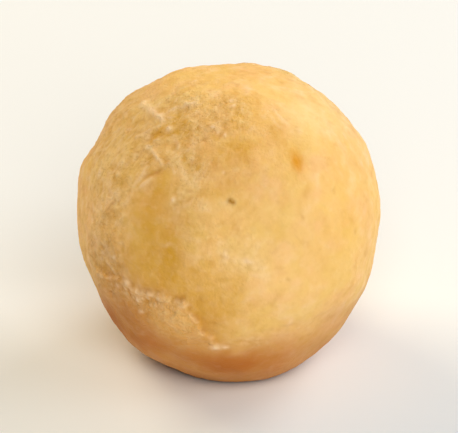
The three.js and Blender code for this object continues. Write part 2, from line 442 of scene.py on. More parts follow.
threads = laid_lines(warped(sphere, 1.7, 0.5, seed=139), THREADS, (1.2, 5.6), (0.22, 0.36), 0.4, seed=149)
small_wander = warped(sphere, 0.9, 0.2, seed=79)
where_laid = (0.15 + 0.85 * dry) * (1 - 0.8 * front)
dashes = laid_lines(small_wander, SCATTERED_DASHES, (0.3, 2), (0.25, 0.6), 0.7, seed=197) * where_laid
flakes = laid_lines(small_wander, SCATTERED_FLAKES, (0.3, 1.4), (0.25, 0.5), 0.7, seed=199) * where_laid
thread_relief = THREAD_RISE * threads * dry
print(THREADS, "threads, on", round(100 * ((threads > 0.4) & (dry > 0.5)).mean(), 1), "% of the crust")

# %% [markdown]
# ## Tears
#
# Along a tear the skin on one side was lifted and the crust beside it sank. The long tear at the
# front is what the eye finds first. A tear is a step across its path, sharp at the edge and fading
# out over some millimetres, with a low lip, a shallow groove at its foot and loose grains.

# %% Tears in the skin
TEAR_EDGE = 0.28  # mm over which the skin's edge drops
LIP_RISE, LIP_WIDTH = 0.09, 0.32
GROOVE_DEPTH, GROOVE_WIDTH = 0.05, 0.32
GRAIN_RISE, GRAINS_AWAY, GRAINS_WIDE = 0.14, 1.1, 1.4  # the loose grains beside a tear's edge
GRAINS_COME = 0.1  # share of the path over which the grains come and go
# bearing, path, lift, sink, fade, and from which to which share of the path grains lie
TEARS = [
    (0, [(-22.6, -7), (-20.4, -9.2), (-17.6, -10), (-15.2, -11.6), (-12.6, -12.3), (-10.2, -13.1),
         (-9.4, -13.8), (-7.1, -13.7), (-6.6, -14.2), (-6.7, -15.1), (-5, -17.2), (-4.2, -18.8),
         (-2.8, -19.8), (-2.2, -20.8), (-0.4, -21.4)],
     0.4, 0.34, 4.5, (0.12, 0.6)),
    (120, [(2, 4), (1, 0), (4.5, -3), (9, -3.5), (11.5, -7.5), (11, -13)], 0.3, 0.3, 4, (0.5, 0.8)),
    (180, [(-15, -3), (-12.5, 3), (-7.5, 6.5), (-2, 6), (2, 8.5), (6.5, 6.5), (9.5, 2), (14, 0)],
     0.35, 0.35, 4.5, (0.2, 0.6)),
    (240, [(-3, 3), (-5, -1.5), (-2, -5), (-4, -9.5), (0, -13), (3, -16)], 0.3, 0.3, 3.5, (0.3, 0.7)),
]

ragged = warped(warped(sphere, 2.4, 0.4, seed=41), 0.9, 0.3, seed=47)
grain_near, _ = cell_noise(sphere, 0.9, seed=53)
grains = np.clip(1 - grain_near / 0.6, 0, 1) ** 0.7
frayed = np.clip(0.35 + 1.5 * gradient_noise(sphere, 1.1, seed=59), 0, 1)
tear_relief, pale_lips_and_highlights, edge_shadows, sheets, sunken_side_shade, crumbly = np.zeros((6, len(sphere)))
for bearing, path, lift, sink, fade, (grains_from, grains_to) in TEARS:
    distance, side, share = beside_path(ragged, bearing, path)
    ends = fade_at_ends(share)
    lifted = (1 + np.tanh(side / TEAR_EDGE)) / 2
    tear_relief += (lift * lifted - sink * (1 - lifted)) * np.exp(-distance / fade) * ends
    lip = bell(side - 0.5 * LIP_WIDTH, LIP_WIDTH) * ends * frayed
    tear_relief += LIP_RISE * lip
    tear_relief -= GROOVE_DEPTH * bell(side + GROOVE_WIDTH, GROOVE_WIDTH) * ends
    beside = bell(side - GRAINS_AWAY, GRAINS_WIDE)
    beside *= smoothstep(share, grains_from, grains_from + GRAINS_COME)
    crumbly = np.maximum(crumbly, beside * (1 - smoothstep(share, grains_to - GRAINS_COME, grains_to)))
    # the lip is painted pale: pale torn skin, with a painted highlight where its edge catches the light
    pale_lips_and_highlights = np.maximum(pale_lips_and_highlights, 0.8 * lip * (1 - 0.5 * smoothstep(share, 0.45, 0.65)))
    shadow = bell(side + GROOVE_WIDTH, 1.3 * GROOVE_WIDTH) * ends
    edge_shadows = np.maximum(edge_shadows, shadow * frayed)
    sheets = np.maximum(sheets, lifted * bell(distance, 1.8 * fade) * ends)
    # the sunken side beside the edge is painted darker: painted shade under the lifted skin
    sunken_side_shade = np.maximum(sunken_side_shade, (1 - lifted) * np.exp(-distance / (0.6 * fade)) * ends)
print("tears reach from", round(tear_relief.min(), 2), "to", round(tear_relief.max(), 2), "mm")

# %% [markdown]
# ## Crumbs
#
# Loose grains of starch lie along a part of each tear and in a few patches elsewhere. A cell noise
# gives the grains: each cell is one grain, high in its middle and low at its rim.

# %% Crumbs on the skin
CRUMB_PATCHES = [
    (0, -8.2, 2.6, 1.6, 2.6, -20, 0.7),  # a seam of crumbs, from the upper left ...
    (0, -9, 9.5, 1.2, 3.2, 15, 0.5),
    (0, -5.6, -2, 1.2, 2.6, -25, 0.3),
    (0, -0.6, -6, 1.4, 1.8, -30, 0.5),
    (0, 2.8, -7.6, 2.4, 1.6, -10, 0.6),  # ... to under the middle
    (0, -2, 14, 3, 2.2, 0, 0.5),  # top
    (0, -12.5, 16, 2.4, 2.4, 0, 0.4),
    (0, -15.4, 4, 1.8, 3, -30, 0.4),  # left
    (0, -18.5, -6, 2.4, 3, 0, 0.4),
    (0, 3.4, -20.2, 2.4, 1.2, 0, 0.5),  # foot
    (120, 6, 4, 4, 3, 0, 0.7),
    (180, -6, 9, 4, 3, 20, 0.7),
    (180, 7, -9, 4, 4, 0, 0.7),
    (240, -8, 8, 4, 4, 0, 0.7),
]
crumb_place = warped(sphere, 1.5, 0.6, seed=151)
for *place, weight in CRUMB_PATCHES:
    crumbly = np.maximum(crumbly, weight * blob(crumb_place, *place))
crumb_relief = GRAIN_RISE * crumbly * (grains - 0.45)
# painted shade in the gaps between the grains
shade_between_grains = crumbly * (1 - grains) ** 2
# the tops of the grains are painted pale too: pale starch, with a painted highlight on top
pale_lips_and_highlights = np.maximum(pale_lips_and_highlights, 0.8 * crumbly * grains)

# %% [markdown]
# ## Ridges, cracks and stretch marks
#
# Seams of pushed-up skin are pale lines about a millimetre wide. Hairline cracks are the other way
# round: thin, shallow and darker. Both follow paths that wander a little.

# %% Ridges and hairlines
# bearing, path, rise, width from the crest to where little is left
RIDGES = [
    (0, [(-14.2, 18.7), (-13, 17.4), (-11.6, 16.3), (-10.7, 15.7), (-10.3, 14.8)], 0.48, 0.65),
    (0, [(-11, 16.2), (-10, 16.9), (-8.6, 17.5), (-6.6, 17.9), (-4.6, 18.2)], 0.38, 0.48),
    (0, [(-15.4, 12.4), (-13.6, 13.3), (-12, 14.2), (-10.6, 14.9)], 0.3, 0.45),  # rims of a dimple
    (0, [(-12.4, 11.9), (-11.2, 12.4), (-10.4, 13)], 0.2, 0.36),
    (0, [(-12.6, 11), (-11.9, 10), (-11.1, 8.9), (-10.4, 8)], 0.42, 0.36),  # a loose sliver
    (0, [(-9.9, 9), (-9.2, 7.9), (-8.6, 6.6)], 0.2, 0.32),
    (0, [(-9.2, 13.4), (-8.6, 12.4), (-8.1, 10.8)], 0.16, 0.36),
    (0, [(-8.2, 9.8), (-7.6, 7.6), (-6.8, 5.6), (-6.4, 4.4)], 0.08, 0.45),
    (0, [(-15.8, 4.3), (-14.4, 6.3), (-12.7, 8.6)], 0.34, 0.36),
    (0, [(-14.9, 4.2), (-13.6, 5.4), (-12.1, 6.5)], 0.26, 0.34),
    (0, [(-9.4, 1.2), (-7.6, 1.5), (-6.4, 2), (-5.3, 3.1)], 0.2, 0.32),
    (0, [(-19.6, 2), (-18.5, 3.7), (-17.4, 4.9)], 0.16, 0.3),
    (0, [(-19.2, 8.6), (-17.9, 9.9), (-16.4, 11.1)], 0.14, 0.3),
    (0, [(-21.5, 5.6), (-20.9, 7.4), (-20.3, 9.4)], 0.16, 0.34),
    (0, [(-21.6, -2.6), (-21, -0.4), (-20.2, 0.4)], 0.16, 0.34),
    (0, [(-20, -6.8), (-19, -8.5), (-17.8, -10)], 0.18, 0.3),
    (120, [(4.5, -3), (0, -7), (-4, -8)], 0.16, 0.5),
    (120, [(9, -3.5), (12, 2), (16, 4), (18, 9)], 0.18, 0.5),
    (180, [(-2, 6), (-4, 1), (-2, -4), (-5, -9)], 0.18, 0.5),
    (180, [(9.5, 2), (7, -3), (9.5, -8), (8, -13)], 0.18, 0.5),
    (240, [(-2, -5), (3, -7), (6, -11)], 0.16, 0.5),
    (240, [(-5, -1.5), (-10, 0), (-13, 5), (-12, 9)], 0.16, 0.5),
]
# bearing, path, depth (a rise where negative): all about half a millimetre wide
HAIRLINES = [
    (0, [(6.6, 18), (7.4, 16.9), (8.4, 15.7), (10, 14.2)], -0.045),  # two stretch marks
    (0, [(6.2, 16.6), (7.4, 15.1), (8.8, 13.6)], -0.03),
    (0, [(7.6, 17.2), (8.6, 16), (9.8, 15)], 0.03),
    (0, [(10, 13.9), (11, 13.6), (11.8, 13.3)], 0.03),
    (0, [(1, 12.4), (2.8, 12.2), (4.6, 11.5)], 0.04),
    (0, [(11.6, 1.6), (11.8, 0.6), (11.9, -0.6)], 0.02),  # right
    (0, [(10.5, -2), (11, -3.4), (12, -4.4), (13.5, -3.9)], 0.025),
    (0, [(8.8, -4.4), (7.8, -5.2), (6.6, -6.6)], 0.025),
    (0, [(2.2, 6.9), (3.4, 6.7), (5.2, 7.2)], 0.03),
    (0, [(-20, 0.8), (-19.1, 1.8), (-18.1, 2.9)], 0.1),  # crease on the left
    (0, [(-14.4, 6), (-12.8, 6.8), (-10.6, 7.8)], 0.07),
    (0, [(0, 22.2), (1.1, 21.5), (1.7, 20.8)], 0.05),
    (0, [(7.8, -17.7), (9.6, -17.6), (11.2, -17.2)], 0.03),  # over the foot
    (0, [(-19.8, -11.6), (-19, -12.2), (-18.2, -12.8)], 0.1),  # under the tear
    (0, [(-18.2, -13), (-17, -13.8), (-15.8, -15.4)], 0.05),
    (120, [(-1, -8), (3, -12), (2, -17)], 0.05),
    (120, [(6, 12), (8, 8), (5, 5), (8, 1)], 0.04),
    (180, [(-14, -6), (-9, -8), (-7, -13), (-2, -15)], 0.05),
    (180, [(-1, 4), (1, -1), (4, -4), (2, -10)], 0.04),
    (240, [(-16, -4), (-10, -4), (-7, -9)], 0.05),
    (240, [(-9, 12), (-7, 7), (-9, 3)], 0.04),
]
HAIRLINE_WIDTH, HAIRLINE_FADE = 0.28, 0.3  # mm, and share of the path at each end
DEEP_CRACK = 0.1  # mm: from this depth on a crack has its full colour

ridge_relief, crests, hairline_relief, cracked = np.zeros((4, len(sphere)))
broken = np.clip(0.9 + 0.7 * gradient_noise(sphere, 1.6, seed=61), 0.4, 1.2)
for bearing, path, rise, width in RIDGES:
    distance, _, share = beside_path(small_wander, bearing, path)
    crest = bell(distance, width) * fade_at_ends(share) * broken
    ridge_relief += rise * crest
    crests = np.maximum(crests, np.clip(crest, 0, 1) * (0.2 + 1.5 * rise))
for bearing, path, depth in HAIRLINES:
    distance, _, share = beside_path(small_wander, bearing, path)
    line = bell(distance, HAIRLINE_WIDTH) * fade_at_ends(share, HAIRLINE_FADE)
    hairline_relief -= depth * line
    cracked = np.maximum(cracked, min(1, depth / DEEP_CRACK) * line)
    crests = np.maximum(crests, min(1, -depth / DEEP_CRACK) * line)

# %% [markdown]
# ## A net of fine cracks
#
# On the back and behind both sides the drying skin broke into small plates, whose rims curl up and
# catch the light as a net of pale lines.

# %% Plates of dry crust
PLATE_SIZE = 3.2
RIM_RISE, RIM_WIDTH = 0.06, 0.1  # mm, and share of a plate
PLATED = [
    (120, 7, -3, 6, 6, 15, 0.7),
    (180, 1, -5, 7, 5, 0, 0.7),
    (240, -8, -4, 5, 6, -20, 0.7),
]

plated = np.clip(blobs(wandering, PLATED), 0, 1)
near, second = cell_noise(warped(sphere, 2.5, 0.9, seed=67), PLATE_SIZE, seed=71)
rims = bell(second - near, RIM_WIDTH) * smoothstep(plated, 0.2, 0.7)
rims *= np.clip(0.6 + 0.8 * gradient_noise(sphere, 2.2, seed=73), 0, 1)
plate_relief = RIM_RISE * rims

# %% [markdown]
# ## Flakes and sunken spots
#
# Loose flakes of dry starch are the palest places on the crust, and small spots where the skin is
# thin or gone are sunken and deeper in colour. A few spots on the upper left are painted shade in
# the hollows beside the ridges. On the front each has its own place and size, and the rest of the
# ball has the scattered ones from above.

# %% Flakes and spots
SPOT_DEPTH = 0.1
PALE_FLAKE = 0.16  # mm: from this rise on a flake has its full colour
# both on the map of the front: (x, y, half width, half height, turn, rise or weight)
FLAKES = [
    (-11.3, 16.2, 1.1, 0.7, -15, 0.36), (-14, 18.3, 0.8, 0.7, 0, 0.12),  # first the ridges' knot
    (-9.7, 14.1, 0.55, 0.65, 10, 0.28), (-9.5, 16, 0.5, 0.35, 0, 0.12),
    (-13, 11.1, 0.6, 0.35, 0, 0.25), (-17.7, 12.3, 0.4, 0.6, 0, 0.1),
    (-16.3, 14.3, 0.9, 0.35, 10, 0.09), (-21, 7.1, 0.5, 0.7, 0, 0.14),  # left
    (-22.4, 1.6, 0.45, 0.7, 0, 0.1), (-18.3, 3.7, 0.4, 0.6, -30, 0.1),
    (-9, 2.7, 0.5, 0.45, 0, 0.36), (-18.5, -6.5, 0.7, 0.4, 15, 0.16),
    (-16.5, -10.6, 0.6, 0.9, 15, 0.26), (-14.8, -12, 0.35, 0.4, 0, 0.2),  # along the tear
    (-14.5, -13.2, 0.4, 0.6, 10, 0.2), (-12.6, -12.5, 0.9, 0.3, -15, 0.18),
    (-11.2, -13.1, 0.45, 0.45, 0, 0.26), (-14, -15.2, 0.6, 0.35, 20, 0.12),
    (-7.4, -14.3, 0.9, 0.4, 0, 0.1), (-2.2, -20.9, 0.9, 0.5, 10, 0.2),
    (-0.6, -20.9, 0.6, 0.4, 0, 0.14), (-6.9, 18, 0.5, 0.4, 0, 0.12),
    (-5.5, 22.2, 0.4, 0.35, 0, 0.1), (-2.6, 14.5, 0.5, 0.3, -20, 0.16),  # top
    (-1.9, 13.6, 0.3, 0.4, 0, 0.12), (-0.6, 13.3, 0.3, 0.5, 0, 0.14),
    (0.3, 18.7, 0.5, 0.35, 0, 0.14), (0.7, 17.8, 0.45, 0.35, 0, 0.15),
    (3, 20.6, 1.1, 0.25, 0, 0.08), (-9.9, -4.6, 0.9, 0.35, 10, 0.07),
    (-0.9, 7.1, 0.35, 0.35, 0, 0.09), (3, -7.3, 1.1, 0.5, -10, 0.14),  # middle
    (-0.5, -6.2, 0.5, 0.9, 20, 0.1), (5.8, -8.3, 0.7, 0.4, 0, 0.06),
]
SPOTS_AND_SHADES = [
    # on the upper left, the spots at (-7.7, 14.3), (-11.6, 13.4) and (-11.3, 7.3) are painted shade in the
    # hollows beside the ridges
    (-7.7, 14.3, 1.2, 0.9, 0, 0.5), (-12.3, 19.2, 0.9, 0.45, 0, 0.4),  # upper left
    (-11, 17.6, 0.6, 0.3, 0, 0.4), (-11.7, 16.9, 0.35, 0.25, 0, 0.9),
    (-14.2, 15.8, 1, 0.5, 0, 0.35), (-11.6, 13.4, 1.4, 0.45, 32, 0.9),
    (-12.8, 12.4, 0.8, 0.4, 20, 0.7), (-8.7, 11.2, 0.35, 1, 0, 0.5),
    (-13.9, 8.2, 0.5, 0.3, 60, 0.5), (-11.3, 7.3, 1, 0.45, 35, 0.9),
    (-12.7, 6.5, 1.1, 0.3, 35, 0.6), (-22, 8.1, 0.7, 0.35, 45, 0.5),
    (-22, 6.6, 0.3, 0.8, -30, 0.4), (-18.6, 6.3, 0.35, 0.9, 0, 0.7),  # left
    (-20.5, -5.2, 1, 0.5, 0, 0.8), (-21.8, -4.2, 0.4, 0.4, 0, 0.6),
    (-21.6, -6.2, 0.4, 0.4, 0, 0.6), (-17.1, -4.6, 0.25, 0.7, 0, 0.6),
    (-17.6, -8.1, 0.9, 0.6, 0, 0.9), (-18.2, -9.1, 0.4, 0.5, 0, 0.5),
    (-20.6, -11, 0.6, 0.4, 0, 0.8), (-17.2, -12.6, 0.8, 0.6, -20, 0.5),
    (-15.4, -13, 0.3, 0.7, 0, 0.9), (-14.7, -14.2, 0.4, 0.4, 0, 0.6),  # under the tear
    (-13, -13.6, 0.35, 0.7, 0, 0.9), (-13.2, -15.5, 0.6, 0.5, 0, 0.6),
    (-14.8, -17.5, 0.9, 0.6, 0, 0.45), (-7.9, -18.4, 0.35, 0.35, 0, 0.5),
    (-4.8, -13.6, 0.5, 0.4, 0, 0.6), (-4.3, -16.8, 0.5, 0.4, 0, 0.6),  # right of the tear
    (-2.4, -17.5, 0.8, 0.5, -30, 0.8), (-3.2, -18.7, 1, 0.5, 0, 0.4),
    (-4.5, 21.5, 0.7, 0.4, -20, 0.4), (-3.1, 20.3, 0.4, 0.3, 0, 0.9),  # top
    (-2.2, 18.1, 0.8, 0.28, 0, 0.7), (-5.6, 16.8, 0.8, 0.5, 0, 0.3),
    (-3.9, 16.2, 0.9, 0.3, 10, 0.35), (-0.6, 15.2, 0.4, 0.5, 0, 0.4),
    (-3.3, 14.6, 0.4, 0.28, 0, 0.8), (-1.2, 13.2, 0.35, 0.4, 0, 0.7),
    (-6.6, 12.6, 0.6, 0.4, 0, 0.3), (-3.9, 12.5, 0.5, 0.4, 0, 0.3),
    (-2.7, 11.5, 0.6, 0.4, 0, 0.35), (0.9, 17.3, 0.4, 0.28, 0, 0.4),
    (2, 18.7, 0.8, 1, 0, 0.2), (2.3, 14, 0.8, 0.7, 0, 0.2),
    (1.2, 11.4, 0.4, 0.6, 0, 0.3), (1, 8.2, 0.6, 0.6, 0, 0.25),
    (-2.9, 9, 0.4, 0.3, 0, 0.3), (-6.3, 9, 1, 0.5, 0, 0.25),
    (6, 7.4, 0.5, 0.4, 20, 0.25), (-0.5, 7, 0.28, 0.28, 0, 0.6),
    (-6.2, 4.1, 0.5, 0.35, 20, 0.5), (-6.8, 2.5, 1, 0.3, 35, 0.6),  # middle
    (-8.9, 3.8, 0.5, 0.3, 30, 0.5), (1.3, -2.2, 0.4, 0.5, 0, 0.3),
    (1.5, -4.4, 0.4, 0.5, 0, 0.3), (8.1, 2.3, 0.4, 0.5, 30, 0.35),
    (11.9, -0.2, 0.3, 0.5, 0, 0.5), (9.6, -10.3, 0.4, 0.35, 0, 0.5),  # right
    (16.8, 4.2, 0.5, 0.4, 0, 0.35), (20.3, -2.5, 0.4, 0.5, 0, 0.5),
    (6.9, -18.2, 0.4, 0.6, 0, 0.4), (12.8, -19, 0.5, 0.3, 0, 0.4),
]

flake_relief = FLAKE_RISE * flakes - DASH_DEPTH * dashes
spots_and_shade = 0.6 * np.maximum(opened, dashes)
for *place, rise in FLAKES:
    flake = blob(small_wander, 0, *place)
    flake_relief += rise * flake
    flakes = np.maximum(flakes, flake * min(1, rise / PALE_FLAKE))
for *place, weight in SPOTS_AND_SHADES:
    spot = weight * blob(small_wander, 0, *place)
    flake_relief -= SPOT_DEPTH * spot
    spots_and_shade = np.maximum(spots_and_shade, spot)

# %% [markdown]
# ## Pores, blisters and cheese
#
# Steam left small round holes, tiny blisters stayed closed, and bits of grated cheese melted
# through the skin. A few are placed where they matter, and the other holes and the blisters are
# scattered by a seeded random draw.

# %% Round marks
# (bearing, x, y, radius, depth)
PORES = [
    (0, 0.2, 2.55, 0.46, 0.03),  # the one hole on the front, painted dark for the shade inside it
    (0, 0.65, 2.3, 0.4, 0.02),
    (120, 5, 3, 0.42, 0.08),
    (120, 2, -9, 0.3, 0.06),
    (180, 5, 1, 0.5, 0.1),
    (180, -8, -3, 0.34, 0.06),
    (240, -7, 4, 0.4, 0.08),
]
CHEESE_SPOTS = [
    (0, 10.9, 8.8, 1, 1.9, 0, 1),
    (120, 3, 7, 0.6, 1.1, 0, 1),
    (180, -10, 1, 1.3, 0.8, 0, 1),
    (180, 8, -16, 0.9, 0.6, 0, 1),
    (240, -3, -12, 0.5, 0.8, 0, 1),
]
CHEESE_SINK = 0.03
SCATTERED_PORES, SMALL_PORE_DEPTH = 260, 0.06
SCATTERED_BLISTERS, BLISTER_RISE = 240, 0.07


def discs(points, centres, radii, softness=2):
    """The highest of many round marks at each point: exp(-(distance / radius)^(2 softness))."""
    high = np.zeros(len(points))
    for centre, radius in zip(centres, radii):
        near_by = near_place(points, centre, 3.5 * radius)
        away = np.linalg.norm(points[near_by] - centre, axis=1) / radius
        high[near_by] = np.maximum(high[near_by], np.exp(-(away ** (2 * softness))))
    return high


def scattered_discs(count, smallest, largest, radius_seed, place_seed, softness=2):
    """Round marks at random places, with radii drawn between two limits."""
    radii = np.random.default_rng(radius_seed).uniform(smallest, largest, count)
    return discs(sphere, scattered(count, place_seed), radii, softness)


painted_hole_shade, pore_relief = np.zeros((2, len(sphere)))
for bearing, x, y, radius, depth in PORES:
    hole = discs(sphere, [on_sphere(bearing, x, y)], [radius], 1)
    pore_relief -= depth * hole
    painted_hole_shade = np.maximum(painted_hole_shade, hole)
small_pores = scattered_discs(SCATTERED_PORES, 0.2, 0.38, 83, 89)
pore_relief -= SMALL_PORE_DEPTH * small_pores * (0.25 + 0.75 * dry)
small_blisters = scattered_discs(SCATTERED_BLISTERS, 0.25, 0.5, 97, 101, softness=1)
blister_relief = BLISTER_RISE * small_blisters * (0.3 + 0.7 * dry)
cheese = blobs(warped(sphere, 1.2, 0.25, seed=103), CHEESE_SPOTS)

# %% [markdown]
# ## The crust's own grain
#
# Baked starch is never glassy. Soft dimples a few millimetres wide and a grain of about one
# millimetre lie over the whole ball. All the relief on top of the body gives each point's distance
# from the middle, and the tray flattens what would be below it.

# %% All the relief together
BASE_PITS, PIT_DEPTH = 900, 0.25

uneven = np.clip(dry + sheets, 0, 1)  # where the skin is drier it set less even
smooth_right = blob(wandering, 0, 15, -2, 12, 22)
rough = 0.18 + 0.2 * (1 - smooth_right) + 0.62 * np.maximum(dry, 0.8 * sheets)
dimples = (0.12 + 0.18 * uneven) * rough_noise(sphere, 5, seed=107, layers=2)
grain = (0.04 + 0.1 * rough) * rough_noise(sphere, 1.5, seed=113, layers=2)
relief = fold_relief + opening_relief + thread_relief + tear_relief + crumb_relief + ridge_relief
relief += hairline_relief + plate_relief + flake_relief + pore_relief + blister_relief
relief += dimples + grain - CHEESE_SINK * cheese

crust = directions * (body_radius + relief)[:, None]
crust[:, 2] = rest_on_tray(crust[:, 2] + MIDDLE_HEIGHT)

on_base = smoothstep(-directions[:, 2], 0.84, 0.9)
crust[:, 2] += PIT_DEPTH * on_base * scattered_discs(BASE_PITS, 0.3, 0.9, 131, 127)
print("finished crust:", crust.min(0).round(1), "to", crust.max(0).round(1), "mm")

# %% [markdown]
# ## Where it browned, and where shade and light are painted
#
# Heat browns what lies low, near the hot tray. The lower part, the lower left and the foot are
# also painted darker for shade, and so are the sunken sides of the tears and the hollows beside the
# ridges. The hollow over the tear stayed moist: it has a deeper, more olive gold. Egg and cheese
# aren't mixed in evenly, which gives soft clouds of deeper gold and of cream. A paler place high on
# the right carries a painted highlight. These weights, one at each point, go to the material as mesh
# attributes.

# %% Weights for the colours
TOASTED_AND_SHADED_PLACES = [
    (0, -20, -14.5, 6, 5, 30, 0.4),  # low on the left, these four: painted shade, with some browning
    (0, -17, -15, 4.5, 4, 30, 0.4),
    (0, -19, -9, 8, 9, 20, 0.16),
    (0, -13.5, -19, 6, 3.4, 25, 0.4),
    (0, 1, -22.8, 12, 4.4, 0, 0.58),  # foot, at the front and at the other sides: browning, and at the front painted shade as well
    (75, 4, -22.4, 9, 3.6, 0, 0.35),
    (190, -4, -22.2, 11, 3.8, 0, 0.35),
    (285, 2, -22.6, 9, 3.4, 0, 0.35),
    (0, -4.4, -14.2, 2, 1.6, 0, 0.15),  # beside the tear's corner
    (0, -3.6, -17.4, 2.4, 2, 0, 0.24),
    (0, -0.5, 14, 4.5, 3.5, 0, 0.06),  # top
    (0, 7.2, 12.6, 1.5, 1.3, 0, 0.07),  # high on the right
    (0, 22.5, 2, 3, 9, 0, 0.12),  # right edge
    (120, 8, -10, 8, 6, 0, 0.4),
    (180, -10, -6, 7, 7, 0, 0.4),
    (180, 8, 4, 6, 6, 0, 0.3),
    (240, -3, 2, 6, 7, 0, 0.35),
]
MOIST_AND_SHADED_PLACES = [
    (0, -12.3, 0.5, 4.2, 7.5, -10, 0.6),  # hollow over the tear, ...
    (0, -13.4, -1, 1.9, 2.6, 0, 0.35),  # ... with its deeper places
    (0, -12.2, 4.6, 1.8, 1.4, 0, 0.35),
    (0, -8.8, -4.5, 1.5, 5, -5, 0.55),
    (0, -13, 13, 8, 6, 20, 0.22),  # under the dry skin
    # the next three are painted shade in the hollows beside the ridges of the upper left
    (0, -11.6, 13, 1.5, 0.8, 25, 0.7),  # dimple between two ridges
    (0, -12.4, 7.6, 1.2, 0.9, 20, 0.5),
    (0, -8.2, 14.6, 2.4, 1.9, 0, 0.65),
    (0, -9.8, -8.6, 4, 4, -20, 0.55),
    (0, -14.5, -8, 2.4, 2.4, 0, 0.35),
    (0, -2, -15, 4.5, 4, 0, 0.55),
    (0, -3, -10, 4, 3, 0, 0.25),
    (0, -1, 15.5, 7, 6, 0, 0.42),  # top
    (0, 2.4, 17.4, 1.6, 3.2, 0, 0.4),
    (0, 9, 11, 3, 3, 0, 0.15),
    (0, 1.6, 10.6, 3, 2.6, 0, 0.4),
    (0, -5, 9.4, 3, 1.8, 0, 0.35),
    (0, 7, 12.6, 1.7, 1.6, 0, 0.12),
    (0, 10.6, 8.9, 1.5, 2.4, 0, 0.12),  # round the cheese
    (0, 18, 9, 4, 4, 0, 0.25),
    (0, 0.5, 5.5, 5, 4, 0, 0.25),
    (0, -1.6, 4.2, 1.6, 1, 0, 0.3),
    (0, 6.8, -3, 2, 1.4, 0, 0.25),
    (0, 0.9, -11.3, 1.2, 1.4, 0, 0.35),
    (0, 18.8, -1, 3, 4, 0, 0.25),
    (120, 6, -10, 6, 4, -20, 0.6),
    (180, 8, -4, 6, 6, -30, 0.6),
    (240, -6, -4, 6, 5, 25, 0.6),
]
PALE_PLACES = [
    (0, 12, 16.5, 5, 4.4, -40, 0.65),  # puffed up high on the right: paler, with a painted highlight
    (0, 6, 21.4, 4, 2.4, 0, 0.3),
    (0, -4, 18.6, 3, 2.2, 0, 0.35),
    (0, 3, -6.8, 4, 3, -10, 0.42),  # middle and low right
    (0, 9, -11, 8, 6, 0, 0.2),
    (0, 8, -1, 5, 4, 0, 0.25),
    (0, -12.6, 18.4, 2.8, 2.4, 0, 0.8),  # upper left
    (0, -16.4, 12.6, 3, 2, 20, 0.2),
    (0, -20.8, 7.8, 1.8, 3, 0, 0.5),  # left
    (0, -21.4, 0.6, 1.4, 3, 0, 0.25),
    (0, -17.2, 4, 2, 3.2, 0, 0.2),
    (0, -8.6, 2.2, 1.8, 1.3, 0, 0.7),  # right bank of the hollow
    (0, -6.6, 6.4, 1.3, 4, 15, 0.45),
    (0, -1.6, 1.8, 2, 0.9, 0, 0.3),
    (120, -4, 8, 8, 6, 0, 0.5),
    (180, -4, 3, 8, 6, 0, 0.5),
    (240, -6, 10, 8, 6, 0, 0.4),
]
CLOUD_SIZE = 3.4  # mm
MOTTLE_SIZE = 1.9  # mm: smaller and stronger clouds on the dry skin
DRIFT_SIZE = 7  # mm: slow change from yellower to rosier

clouds = (0.45 + 0.4 * uneven) * rough_noise(warped(sphere, 4, 1.2, seed=173), CLOUD_SIZE, seed=179)
mottled_place = stretched(warped(sphere, 2, 0.7, seed=181), PULL, 0.65)
mottled = 1.3 * np.maximum(uneven, 0.5 * (1 - smooth_right))
clouds += mottled * rough_noise(mottled_place, MOTTLE_SIZE, seed=191, layers=3, gain=0.6)
drift = rough_noise(sphere, DRIFT_SIZE, seed=193, layers=3, gain=0.7)
# darker towards the bottom: browning, and painted shade low down
low_down = smoothstep(-directions[:, 2] + 0.05 * rough_noise(sphere, 6, seed=137), 0.25, 0.95)
toast_and_shade = 0.8 * low_down + 0.2 * on_base + 0.12 * sunken_side_shade
toast_and_shade += blobs(wandering, TOASTED_AND_SHADED_PLACES)
moist_and_shade = blobs(wandering, MOIST_AND_SHADED_PLACES) + 0.45 * sunken_side_shade
pale_and_highlit_area = blobs(wandering, PALE_PLACES)
fold_height = 1.5 * (folds + 0.35 * fine_folds) * dry * folded
fibrous = np.clip(0.5 + 1.3 * gradient_noise(sphere, 4, seed=211), 0, 1)
speckled = np.clip(0.6 + 1.1 * gradient_noise(sphere, 3, seed=223), 0.15, 1)

attributes = {
    "dry": dry,
    "fibrous": np.maximum(dry, 0.8 * sheets) * fibrous,
    "rough": rough * (1 - 0.4 * np.clip(toast_and_shade, 0, 1)),
    "speckled": speckled * (1 - 0.6 * smooth_right) * (1 - np.clip(1.2 * moist_and_shade, 0, 1)),
    "golden_cloud": smoothstep(clouds, 0, 0.6),
    "creamy_cloud": smoothstep(-clouds, 0, 0.6),
    "yellower": smoothstep(drift, 0, 0.7),
    "rosier": smoothstep(-drift, 0, 0.7),
    "sheet": sheets,
    "moist_and_shade": moist_and_shade,
    "paler_and_highlit": pale_and_highlit_area,
    "toasted_and_shaded": toast_and_shade,
    "base": on_base,
    # darker in the folds' valleys: the deeper gold of the skin there, and painted shade in the creases
    "fold_valley_gold_and_shade": np.clip(-fold_height, 0, 1),
    "fold_top": np.clip(fold_height, 0, 1),
    "spot": spots_and_shade,
    # pale starch on crests, flakes, threads and blisters, and painted highlight on the tears' lips, the
    # grain tops and the curled plate rims
    "pale_line_and_highlight": np.maximum.reduce([
        pale_lips_and_highlights, crests, flakes, 0.35 * rims, 0.5 * small_blisters * dry, threads * (0.1 + 0.5 * dry)]),
    # darker cracks, and painted shade: in the small pores, between the grains and at the foot of each tear's
    # edge
    "dark_line_and_shade": np.maximum.reduce([
        0.2 * small_pores * dry, cracked, 0.6 * shade_between_grains, 0.7 * edge_shadows]),
    "cheese": cheese,
    "hole": painted_hole_shade,
}
for label, values in attributes.items():
    print(label, "is over one half on", round(100 * (values > 0.5).mean(), 1), "% of the crust")

